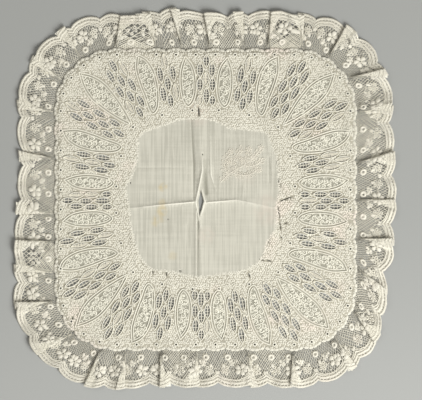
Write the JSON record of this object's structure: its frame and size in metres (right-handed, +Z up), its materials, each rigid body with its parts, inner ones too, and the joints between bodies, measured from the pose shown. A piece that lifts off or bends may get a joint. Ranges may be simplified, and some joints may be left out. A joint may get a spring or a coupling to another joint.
{
  "type": "lace handkerchief",
  "caption": "Square whitework handkerchief with openwork spindles and a gathered, scalloped lace frill, lying flat.",
  "frame": {"origin": "middle of the underside of the whole piece, on the surface it lies on", "axes": "+Z up out of the cloth, +Y towards the far side as laid out, +X to the right"},
  "size_m": [0.3824, 0.3822, 0.0038],
  "materials": {
    "lawn": "fine ivory cotton lawn with dense white embroidery",
    "lace": "fine cream cotton bobbin-style net lace"
  },
  "bodies": {
    "root": {"lawn": "lawn", "frill": "lace"}
  },
  "joints": []
}
